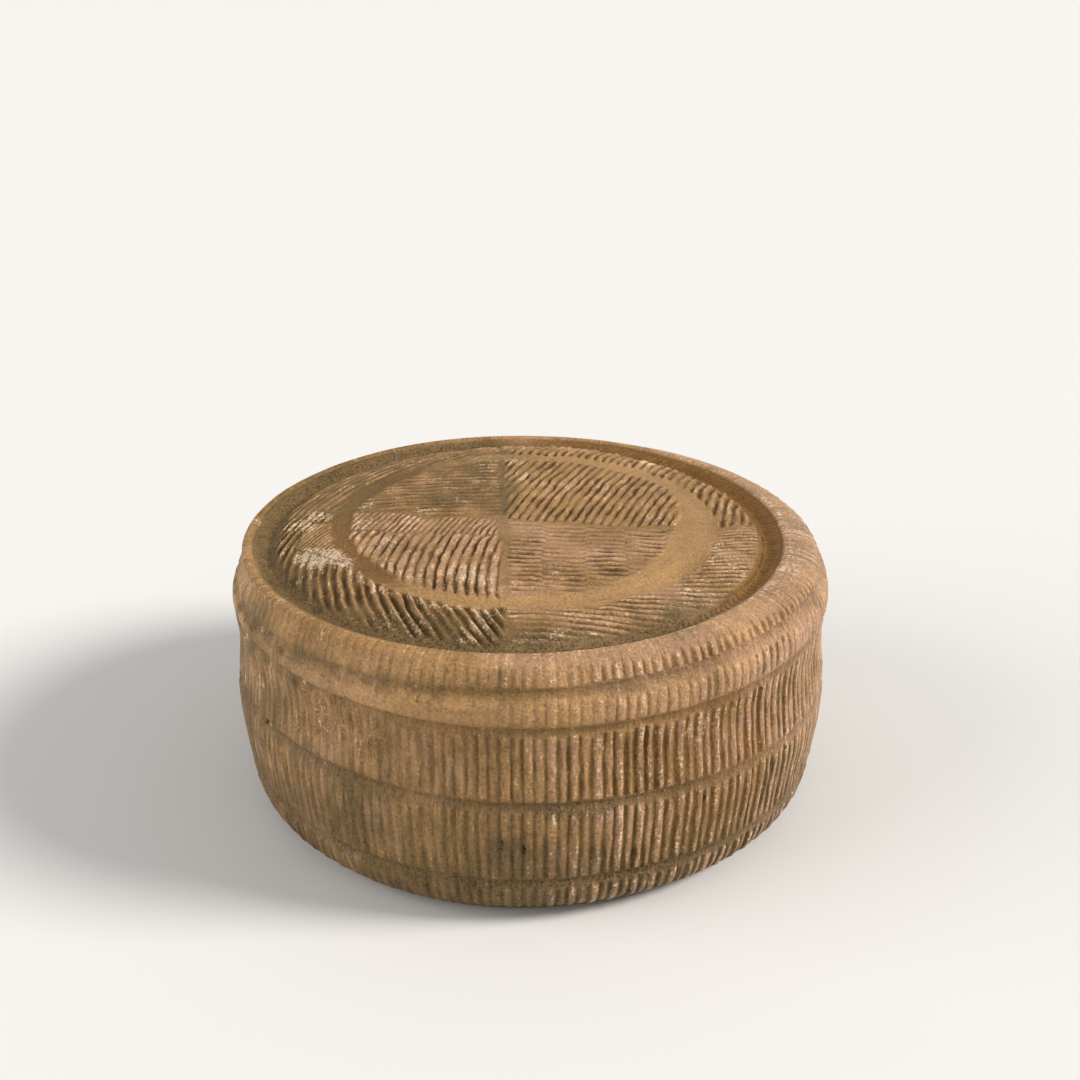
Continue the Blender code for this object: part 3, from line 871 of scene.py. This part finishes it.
crest_share = 1.0 - gap_share
raised = 1.0 - 0.6 * low
front_glints = ease(-96.0, -86.0, way) * (1.0 - 0.6 * ease(-75.0, -50.0, way))
wear_and_highlights = (
    0.5 * np.clip(lumps(skin, 0.016, 12.5), 0.0, 1.0) * (1.0 - smooth) * raised  # patches of bloom
    # a paler stretch at the right: painted light where the key light falls
    + 0.34 * between(LIT_RIGHT_PALE, way)
    # pale flecks on the thick crests from the front rightwards: painted glints
    + 0.40 * (band < RIM_BAND) * thick * crest_share * front_glints
    + (0.30 + 1.05 * left) * np.clip(-smears, 0.0, 1.0) * raised  # between the smears of dirt
    - 0.35 * lip_below * (1.0 - rim_marks)
    + 0.35 * between(RIB_HEADS, from_groove) * on_side * crest_share * ease(-100.0, -80.0, way)
)
# pale flecks on the rim's thick crests at the front right: painted glints
rim_glints = 0.9 * (band == RIM_BAND) * thick * crest_share * between(RIM_GLINTED, way)
wear_and_highlights = np.maximum(wear_and_highlights, rim_glints * (1.0 - ease(0.1140, 0.1165, level)))
for round_to, height in SIDE_SPECKS:
    away = np.hypot((way - round_to) * DEGREE, level - height)
    wear_and_highlights = np.maximum(wear_and_highlights, 1.8 * hump(0.0, SPECK_HALF, away))
rosy = (
    0.14
    + 0.42 * (band < RIM_BAND) * far_left
    # pinker and paler at the right: partly painted light where the key light falls
    + 0.25 * between(ROSY_AND_LIT_RIGHT, way)
    + 0.62 * between(ROSY_FRONT, way)
    + 0.30 * (band == RIM_BAND) * ease(-125.0, -85.0, way)
    + (band == SOFT_BAND) * (0.45 * ease(-80.0, -40.0, way) + 0.20 * far_left)
    + 0.35 * lumps(skin, 0.017, 61.0) * on_side
)
print("worn at", percent(wear_and_highlights[on_side]), "% and rosy at", percent(rosy[on_side]), "%")

# %% Places on the top
DIRTY_BACK = (70.0, 115.0, 150.0, 205.0)  # stretches round the top, in degrees
CLEAN_RIGHT = (-54.0, -26.0, 70.0, 110.0)
DIRTY_FRONT = (-140.0, -120.0, -45.0, -20.0)

front_left = quarter_share[FRONT_LEFT]
back_quarter = quarter_share[BACK_LEFT]
front_quarter = quarter_share[FRONT_RIGHT]
back_left = between(DIRTY_BACK, top_turn % 360.0)
right_side = between(CLEAN_RIGHT, top_turn)
left_edge = ease(90.0, 130.0, np.abs(top_turn))
lip = ease(CREST_RADIUS - 0.0034, CREST_RADIUS - 0.0014, top_reach)
lip_marks = between(RIM_MARKED, top_turn)
left_of_ring = ease(112.0, 150.0, np.abs(ring_turn)) * (1.0 - off_ring)
right_wall = ease(FIELD_RADIUS - 0.0010, FIELD_RADIUS + 0.0010, top_reach) * right_side * (1.0 - lip)
trough_dirt = hump(0.110, 0.0045, top_reach)
front_dirt = hump(0.1045, 0.0075, top_reach) * between(DIRTY_FRONT, top_turn)
tips = hump(RING_OUTER + 0.0025, 0.0030, past_ring) * outside_ring * front_left
ends = hump(0.0040, 0.0060, -past_ring - ring_inner) * inside_ring * front_left
ends = ends * (1.0 - ease(-0.050, -0.030, top_y))
inner_gaps = inside_ring * front_left * ease(0.20, 0.55, np.abs(ridge_place - np.round(ridge_place)))
print("the lip takes", percent(lip), "% of the top's points")

# %% Numbers for the top
PALE_SPOTS = (
    (-0.0230, -0.0640, 0.0090, 0.45),
    (-0.0190, -0.0400, 0.0080, 0.40),
    (-0.0700, -0.0600, 0.0060, 0.30),
)  # x, y, radius and strength

top_grime = (
    0.05
    + 0.50 * trough_dirt * (1.0 - 0.75 * right_side)
    + front_dirt * (0.32 + 0.45 * lumps(flat, 0.009, 17.0))
    + 0.58 * back_left
    + 0.28 * lumps(flat, 0.022, 14.0)
    + 0.30 * back_quarter * lumps(flat, 0.007, 19.0)
    - 0.10 * patch_share
    + 0.35 * left_of_ring
    + 0.65 * on_wall * (1.0 - right_side)
    - 0.35 * right_wall
    + 0.25 * outside_ring * front_left * (1.0 - patch_share) * (1.0 - tips)
    + lip * (0.14 * left_edge + 0.52 * lip_marks)
)
top_worn = (
    0.70 * np.clip(lumps(flat, 0.014, 15.5) * 1.4, 0.0, 1.0) * (1.0 - 0.6 * back_quarter * outside_ring)
    + 0.40 * front_quarter * outside_ring
    + off_ring * (0.30 * front_left + 0.15 * back_quarter)
)
top_worn = top_worn * (1.0 - 0.8 * left_of_ring) * (1.0 - 0.8 * on_wall) - 0.45 * lip * (1.0 - lip_marks)
fresh = 0.95 * tips * (1.0 - patch_share) + 0.60 * ends
pale = spots(top_x, top_y, WORN_SPOTS + PALE_SPOTS)

smooth[on_top] = np.maximum(1.0 - off_ring, 0.35 * lip)
grime_and_shade[on_top] = top_grime * (1.0 - 0.5 * smooth[on_top])
wear_and_highlights[on_top] = np.maximum.reduce([top_worn, fresh, 0.55 * patch_share, pale])
stain[on_top] = (
    1.10 * left_of_ring
    + 0.85 * right_wall
    + 0.28 * lip * left_edge
    + 0.30 * back_quarter * off_ring
    + 0.45 * inner_gaps
)
rosy[on_top] = (
    0.35 + 0.36 * front_left * inside_ring + 0.28 * front_quarter * off_ring + 0.45 * lip * lip_marks
)
lines[on_top] = np.maximum(np.clip(1.25 * strength - 0.14, 0.0, 1.0), lip)
gaps[on_top] = gap_width * (1.0 - lip) + LIP_GAP * lip
beaded[on_top] = bead * claimed

# %% Store them on the skin
fibres = np.where(on_side, 1.0 - 0.7 * smooth, lines)
marks_of = {
    "lines": lines,
    "gaps": np.clip(gaps, -0.6, 0.9),
    "beads": beaded,
    "fibres": fibres,
    "smooth": smooth,
    "rosy": np.clip(rosy, 0.0, 1.0),
    "stain": np.clip(stain, 0.0, 1.0),
    "grime_and_shade": np.clip(grime_and_shade, 0.0, 1.0),
    "wear_and_highlights": np.clip(wear_and_highlights, -0.5, 2.0),
    "pit": pit,
}
for name, values in marks_of.items():
    layer = wheel.data.attributes.new(name, "FLOAT", "POINT")
    layer.data.foreach_set("value", values.astype(np.float32))
    print(f"{name:7s} mean {values.mean():.2f}")

# %% The map across the ribs and ridges
MAP_STEP = 0.0045  # metres along a rib for 1 on the map, about a pitch
WRAPPED = 0.6 * RIBS  # a face that spans more than this is where the count starts again

across_all = place.copy()
along_all = level / MAP_STEP
over_lip = np.flatnonzero(on_top)[lip > 0.0]
across_all[on_top] = ridge_place
along_all[on_top] = ridge_along
across_all[over_lip] = place[over_lip]
along_all[over_lip] = (CREST_HEIGHT + CREST_RADIUS - reach[over_lip]) / MAP_STEP
steps_round = np.where(on_top, WALL_LINES, RIBS)
steps_round[over_lip] = RIBS
corner_point = np.empty(len(wheel.data.loops), dtype=np.int32)
wheel.data.loops.foreach_get("vertex_index", corner_point)
face_start = np.empty(len(wheel.data.polygons), dtype=np.int32)
wheel.data.polygons.foreach_get("loop_start", face_start)
corner_across = across_all[corner_point]
face_low = np.minimum.reduceat(corner_across, face_start)
face_high = np.maximum.reduceat(corner_across, face_start)
corners_per_face = np.diff(np.append(face_start, len(corner_point)))
wraps = np.repeat(face_high - face_low > WRAPPED, corners_per_face)
halfway = np.repeat(0.5 * (face_low + face_high), corners_per_face)
carried = wraps & (corner_across < halfway)
corner_across = corner_across + np.where(carried, steps_round[corner_point], 0)
print_map = wheel.data.uv_layers.new(name="print")
corners = np.column_stack([corner_across, along_all[corner_point]]).astype(np.float32)
print_map.data.foreach_set("uv", corners.ravel())
print(int(wraps.sum()), "corners in the faces where the count starts again")

# %% [markdown]
# ## Basket-pressed rind
# The rind is dried curd, oiled and brushed: a dielectric with a refractive index near 1.46, mostly rough,
# with a faint wax-like sheen on the crests that hands and brushes touch. The colours are laid on like
# glazes, from the dark of the gaps, partly painted shade, up to the pale bloom and the painted glints,
# each through its own mask.

# %% Colours and the node helper
COLOURS = {
    "gap": "#5C3C10",
    "crest": "#9C7746",
    "crest_pink": "#B98F73",
    "ochre": "#B68B59",
    "stain": "#7E561A",
    # the grime colour is also laid where shade is painted
    "grime_and_shade": "#5D4A25",
    "bloom_and_glints": "#D1B697",
    # the bloom colour is also laid where glints are painted
    "pit": "#35200A",
}
RIND_IOR = 1.46


def linear(code):
    """An sRGB hex colour as linear red, green, blue and alpha."""
    parts = [int(code[k : k + 2], 16) / 255.0 for k in (1, 3, 5)]
    return [v / 12.92 if v <= 0.04045 else ((v + 0.055) / 1.055) ** 2.4 for v in parts] + [1.0]


def per_metre(millimetres):
    """How many times a pattern of that size repeats in a metre."""
    return 1000.0 / millimetres


rind = bpy.data.materials.new("oiled_basket_rind")
rind.use_nodes = True
tree = rind.node_tree
tree.nodes.clear()


def add(kind, settings=None, inputs=None):
    """Add a node to the rind, with its settings, and its inputs as values or as other nodes' outputs."""
    node = tree.nodes.new("ShaderNode" + kind)
    for name, value in (settings or {}).items():
        setattr(node, name, value)
    for key, value in (inputs or {}).items():
        if isinstance(value, bpy.types.NodeSocket):
            tree.links.new(value, node.inputs[key])
        else:
            node.inputs[key].default_value = value
    return node


# %% Patterns of the rind
FACTOR = 0  # sockets of a Mix node, which has a set for numbers and a set for colours
NUMBER_A, NUMBER_B = 2, 3
COLOUR_A, COLOUR_B, COLOUR_OUT = 6, 7, 2
PATTERNS = {
    "cloud": (26.0, 3.0, 0.55),
    "mottle": (6.0, 4.0, 0.60),
    "grain": (1.3, 3.0, 0.70),
    "speck": (1.1, 2.0, 0.50),
}  # lump size in millimetres, octaves, roughness
STREAKS_PER_RIB = 3.0  # the straw's own fibres, about 1.5 mm apart
STREAK_LENGTH = 2.5  # in rib pitches: a fibre shows for about 11 mm
FLECK_STREAKS = 0.45  # share of the streaks in the pattern of flecks, where the rest is grain
MULTIPLY_ADD = {"operation": "MULTIPLY_ADD"}
NUMBERS = {"data_type": "FLOAT"}

where = add("TexCoord").outputs["Object"]
marks = {name: add("Attribute", {"attribute_name": name}).outputs["Fac"] for name in marks_of}
patterns = {}
for name, (size, octaves, roughness) in PATTERNS.items():
    looks = {"Vector": where, "Scale": per_metre(size), "Detail": octaves, "Roughness": roughness}
    patterns[name] = add("TexNoise", {"noise_dimensions": "3D"}, looks).outputs["Fac"]

print_place = add("UVMap", {"uv_map": "print"}).outputs["UV"]
fibre_scale = (STREAKS_PER_RIB, 1.0 / STREAK_LENGTH, 1.0)
stretched = add("Mapping", None, {"Vector": print_place, "Scale": fibre_scale}).outputs[0]
fibre_looks = {"Vector": stretched, "Scale": 1.0, "Detail": 2.0, "Roughness": 0.6}
streak = add("TexNoise", None, fibre_looks).outputs["Fac"]
streaked = {FACTOR: marks["fibres"], NUMBER_A: 0.5, NUMBER_B: streak}
patterns["streak"] = add("Mix", NUMBERS, streaked).outputs[0]
flecked = {FACTOR: FLECK_STREAKS, NUMBER_A: patterns["grain"], NUMBER_B: patterns["streak"]}
patterns["fleck"] = add("Mix", NUMBERS, flecked).outputs[0]
print(len(patterns), "patterns")

# %% [markdown]
# ### The print, drawn from the map
# Whole numbers across the map are crests and halves are gaps. A little noise is added before the number is
# folded, so that no edge is ruled. How much of the pitch is gap comes from the numbers on the skin, and the
# beads of each ridge widen and narrow its crest.

# %% Fold the map into crests and gaps
EDGE_WOBBLE = 0.26  # how far the noise moves an edge, as a share of the pitch
EDGE_SOFT = 0.90  # how gradually a crest turns into a gap, as a share of half the pitch
BEAD_SWING = 0.42
PLAIN_TONE = 0.74  # how light the rind is where it has no print, between gap and crest
SOFT_STEP = {"interpolation_type": "SMOOTHSTEP"}

across_print = add("SeparateXYZ", None, {0: print_place}).outputs["X"]
wobbled = add("Math", MULTIPLY_ADD, {0: patterns["mottle"], 1: EDGE_WOBBLE, 2: across_print}).outputs[0]
centred = add("Math", {"operation": "SUBTRACT"}, {0: wobbled, 1: 0.5 * EDGE_WOBBLE}).outputs[0]
folded = add("Math", {"operation": "PINGPONG"}, {0: centred, 1: 0.5}).outputs[0]
from_gap = add("Math", MULTIPLY_ADD, {0: folded, 1: -2.0, 2: 1.0}).outputs[0]
edge = add("Math", MULTIPLY_ADD, {0: marks["beads"], 1: -BEAD_SWING, 2: marks["gaps"]}).outputs[0]
edge_low = add("Math", {"operation": "SUBTRACT"}, {0: edge, 1: 0.5 * EDGE_SOFT}).outputs[0]
edge_high = add("Math", {"operation": "ADD"}, {0: edge, 1: 0.5 * EDGE_SOFT}).outputs[0]
edges = {"Value": from_gap, "From Min": edge_low, "From Max": edge_high}
ridge_mask = add("MapRange", SOFT_STEP, edges).outputs["Result"]
toned = {FACTOR: marks["lines"], NUMBER_A: PLAIN_TONE, NUMBER_B: ridge_mask}
relief = add("Mix", NUMBERS, toned).outputs[0]
print("an edge moves by up to", mm(0.5 * EDGE_WOBBLE * MAP_STEP), "mm either way")

# %% Masks
GAP_DIRT_AND_SHADE = 0.58  # how much cleaner and lighter a crest is than a gap: dirt in the gaps, and painted shade there
CREST_GLINTS = 0.5  # how much sooner a crest takes pale flecks, which are painted glints
MASKS = (
    ("crest", "relief", "mottle", 0.50, 0.15, 1.15),
    ("pinkish", "rosy_crest", "cloud", 1.2, 0.80, 1.50),
    ("ochre", "smooth", "cloud", 0.6, 0.45, 1.05),
    ("stain", "stain", "mottle", 0.9, 0.50, 1.25),
    # the grime mask also carries painted shade, and the bloom mask painted glints on the crests
    ("grime_and_shade", "dirt", "mottle", 1.4, 0.50, 1.35),
    ("bloom_and_glints", "rubbed_and_glints", "fleck", 6.0, 3.85, 4.70),
    ("pit", "pit", "grain", 0.8, 0.70, 1.00),
    ("speckle", "dirt", "speck", 4.0, 2.90, 3.50),
)  # name, mark, pattern added to it, how much of the pattern, where the mask starts and where it is full

ridge_clean = add("Math", {"operation": "MULTIPLY"}, {0: ridge_mask, 1: marks["lines"]}).outputs[0]
marks["relief"] = relief
marks["rosy_crest"] = add("Math", {"operation": "MULTIPLY"}, {0: marks["rosy"], 1: relief}).outputs[0]
# the dirt mark is the grime and painted shade, less on the crests, so the gaps hold painted shade too
marks["dirt"] = add("Math", MULTIPLY_ADD, {0: ridge_clean, 1: -GAP_DIRT_AND_SHADE, 2: marks["grime_and_shade"]}).outputs[0]
# worn places plus pale flecks along the crests, which are painted glints
marks["rubbed_and_glints"] = add("Math", MULTIPLY_ADD, {0: ridge_clean, 1: CREST_GLINTS, 2: marks["wear_and_highlights"]}).outputs[0]
masks = {}
for name, mark, pattern, share, start, full in MASKS:
    mixed = add("Math", MULTIPLY_ADD, {0: patterns[pattern], 1: share, 2: marks[mark]}).outputs[0]
    stepped = {"Value": mixed, "From Min": start, "From Max": full}
    masks[name] = add("MapRange", SOFT_STEP, stepped).outputs["Result"]
print(len(masks), "masks")

# %% Glazes
GLAZES = (
    ("crest", "crest", 1.00),
    ("pinkish", "crest_pink", 0.80),
    ("ochre", "ochre", 0.75),
    ("stain", "stain", 0.95),
    ("grime_and_shade", "grime_and_shade", 0.75),
    ("bloom_and_glints", "bloom_and_glints", 0.78),
    ("pit", "pit", 0.90),
    ("speckle", "pit", 0.60),
)  # mask, colour, how much it covers
BLEND = {"data_type": "RGBA"}

colour = linear(COLOURS["gap"])
for mask, shade, cover in GLAZES:
    thin = add("Math", {"operation": "MULTIPLY"}, {0: masks[mask], 1: cover}).outputs[0]
    laid_on = {FACTOR: thin, COLOUR_A: colour, COLOUR_B: linear(COLOURS[shade])}
    colour = add("Mix", BLEND, laid_on).outputs[COLOUR_OUT]
print(len(GLAZES), "glazes")

# %% Light and dark grain over the glazes
SHADES = (("streak", 1.1), ("grain", 0.6), ("mottle", 1.1), ("cloud", 0.6))  # pattern, its share of the sum
SHADE_SWING = 0.62  # how much the patterns together lighten and darken the colour, at their furthest

shade_middle = 0.5 * (1.0 + sum(share for _, share in SHADES))
shade_sums = {}
shade_sum = patterns["grain"]
for name, share in SHADES:
    shade_sum = add("Math", MULTIPLY_ADD, {0: patterns[name], 1: share, 2: shade_sum}).outputs[0]
    shade_sums[name] = shade_sum
swing = {
    "Value": shade_sum,
    "From Min": shade_middle - SHADE_SWING,
    "From Max": shade_middle + SHADE_SWING,
    "To Min": 1.0 - SHADE_SWING,
    "To Max": 1.0 + SHADE_SWING,
}
shade_value = add("MapRange", None, swing).outputs["Result"]
darkened = {FACTOR: 1.0, COLOUR_A: colour, COLOUR_B: shade_value}
shaded = add("Mix", {**BLEND, "blend_type": "MULTIPLY"}, darkened).outputs[COLOUR_OUT]
print("the patterns' sum swings about", round(shade_middle, 2))

# %% Fine relief, gloss and the finished material
GRAIN_HEIGHT = 0.00070  # the roughness that a finger feels, in metres
RIDGE_RISE = 0.8  # how far a crest rises in that roughness
ROUGHNESS = (0.80, 0.42)  # of a gap and of a crest
SPECK_PIT = 0.6  # how much of a pit a dark speckle is
RIND_SHINE = 0.42  # specular level: the dusty skin scatters part of what it would mirror
PIT_SHINE = 0.06  # a pit traps nearly all that it would mirror

raised_grain = {0: ridge_clean, 1: RIDGE_RISE, 2: shade_sums["grain"]}
height_sum = add("Math", MULTIPLY_ADD, raised_grain).outputs[0]
grain_bump = add("Bump", None, {"Strength": 1.0, "Distance": GRAIN_HEIGHT, "Height": height_sum})
from_none = {"From Min": 0.0, "From Max": 1.0}
worn_smooth = {"Value": relief, **from_none, "To Min": ROUGHNESS[0], "To Max": ROUGHNESS[1]}
gloss = add("MapRange", None, worn_smooth).outputs["Result"]
specks = add("Math", {"operation": "MULTIPLY"}, {0: masks["speckle"], 1: SPECK_PIT}).outputs[0]
hollow = add("Math", {"operation": "MAXIMUM"}, {0: masks["pit"], 1: specks}).outputs[0]
dulled = {"Value": hollow, **from_none, "To Min": RIND_SHINE, "To Max": PIT_SHINE}
shine = add("MapRange", None, dulled).outputs["Result"]
surface = add(
    "BsdfPrincipled",
    None,
    {
        "Base Color": shaded,
        "Roughness": gloss,
        "IOR": RIND_IOR,
        "Specular IOR Level": shine,
        "Normal": grain_bump.outputs["Normal"],
    },
)
add("OutputMaterial", None, {"Surface": surface.outputs["BSDF"]})
wheel.data.materials.append(rind)
print(len(tree.nodes), "nodes in the rind")

# %% Tie the skin to the frame
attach(wheel, "root")
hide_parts("cheese_wheel")

# %% [markdown]
# ## Floor and light
# The floor is a plain pale board that only catches the shadow. A broad key light from high on the right
# rakes across the ribs, so that each one shows a lit right edge, and a weak fill keeps the left side open.

# %% Floor
FLOOR_SIZE = 24.0
FLOOR_DROP = 0.0002  # keeps the board just clear of the foot

bpy.ops.object.select_all(action="DESELECT")
bpy.ops.mesh.primitive_plane_add(size=FLOOR_SIZE, location=(0.0, 0.0, -FLOOR_DROP))
floor = bpy.context.object
floor.name = "pale_floor"
paper = bpy.data.materials.new("pale_paper")
paper.use_nodes = True
paper_shader = paper.node_tree.nodes["Principled BSDF"]
paper_shader.inputs["Base Color"].default_value = linear("#D9D8D6")
paper_shader.inputs["Roughness"].default_value = 0.9
floor.data.materials.append(paper)
print("floor", FLOOR_SIZE, "m across")

# %% Lights
LIGHTS = (
    ("key", (0.90, -0.10, 0.62), 3.6, 18.0, "#FFFCF6"),
    ("fill", (-1.0, -0.25, 0.45), 1.7, 50.0, "#FBFAF8"),
)  # name, where it shines from, strength, how broad it looks in degrees, colour
SKY_COLOUR = "#FBFBFB"
SKY_STRENGTH = 0.51

for name, source, power, breadth, tint in LIGHTS:
    toward_wheel = (-Vector(source)).to_track_quat("-Z", "Y").to_euler()
    bpy.ops.object.light_add(type="SUN", location=source, rotation=toward_wheel)
    lamp = bpy.context.object
    lamp.name = name + "_light"
    lamp.data.energy = power
    lamp.data.angle = math.radians(breadth)
    lamp.data.color = linear(tint)[:3]

world = bpy.data.worlds.new("soft_room")
world.use_nodes = True
sky = world.node_tree.nodes["Background"]
sky.inputs["Color"].default_value = linear(SKY_COLOUR)
sky.inputs["Strength"].default_value = SKY_STRENGTH
bpy.context.scene.world = world
bpy.context.scene.view_settings.view_transform = "Standard"
print(len(LIGHTS), "lights and the sky")
